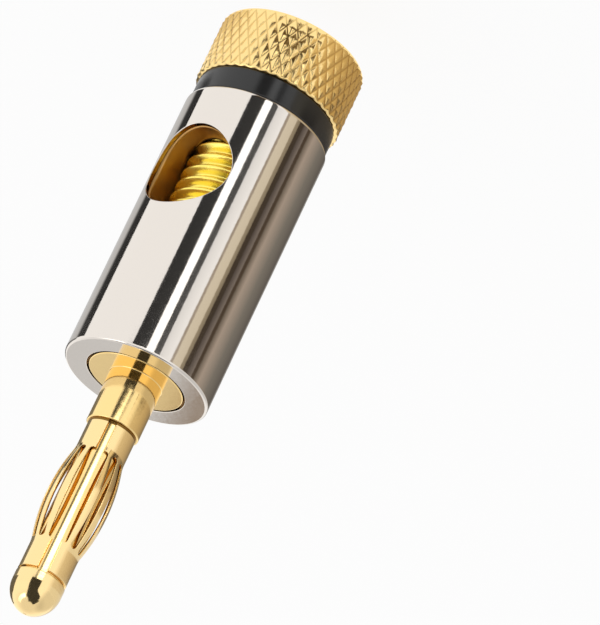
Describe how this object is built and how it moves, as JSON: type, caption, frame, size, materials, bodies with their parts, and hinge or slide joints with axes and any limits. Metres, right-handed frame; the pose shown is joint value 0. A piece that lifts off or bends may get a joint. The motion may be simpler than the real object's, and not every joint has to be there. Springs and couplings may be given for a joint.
{
  "type": "banana plug",
  "caption": "Screw-clamp banana plug: gold pin with a bulged lantern spring, bright sleeve with a side wire hole, coloured ring and a hollow knurled clamp screw.",
  "frame": {"origin": "centre of the clamp screw's end face, on the plug's axis", "axes": "+Z along the plug's axis from the clamp screw to the pin's tip, -Y out of the side wire hole"},
  "size_m": [0.0112, 0.0112, 0.0485],
  "materials": {
    "gold_core": "polished gold plating",
    "gold_spring": "polished gold plating",
    "chrome_sleeve": "bright chrome",
    "black_ring": "glossy black",
    "gold_screw": "gold plating, satin on the end face"
  },
  "bodies": {
    "plug_body": {"plug_core": "gold_core", "contact_spring": "gold_spring", "outer_sleeve": "chrome_sleeve"},
    "ring_body": {"colour_ring": "black_ring"},
    "screw_body": {"clamp_screw": "gold_screw"}
  },
  "joints": [
    {"name": "clamp_slide", "type": "slide", "parent": "plug_body", "child": "ring_body", "axis": [0, 0, -1], "range_m": [0, 0.006]},
    {"name": "clamp_turn", "type": "hinge", "parent": "ring_body", "child": "screw_body", "pos_m": [0, 0, 0.00505], "axis": [0, 0, -1], "range_deg": [0, 2160]}
  ],
  "couplings": [
    {"joint": "clamp_slide", "follows": "clamp_turn", "m_per_rad": 0.00015915}
  ]
}
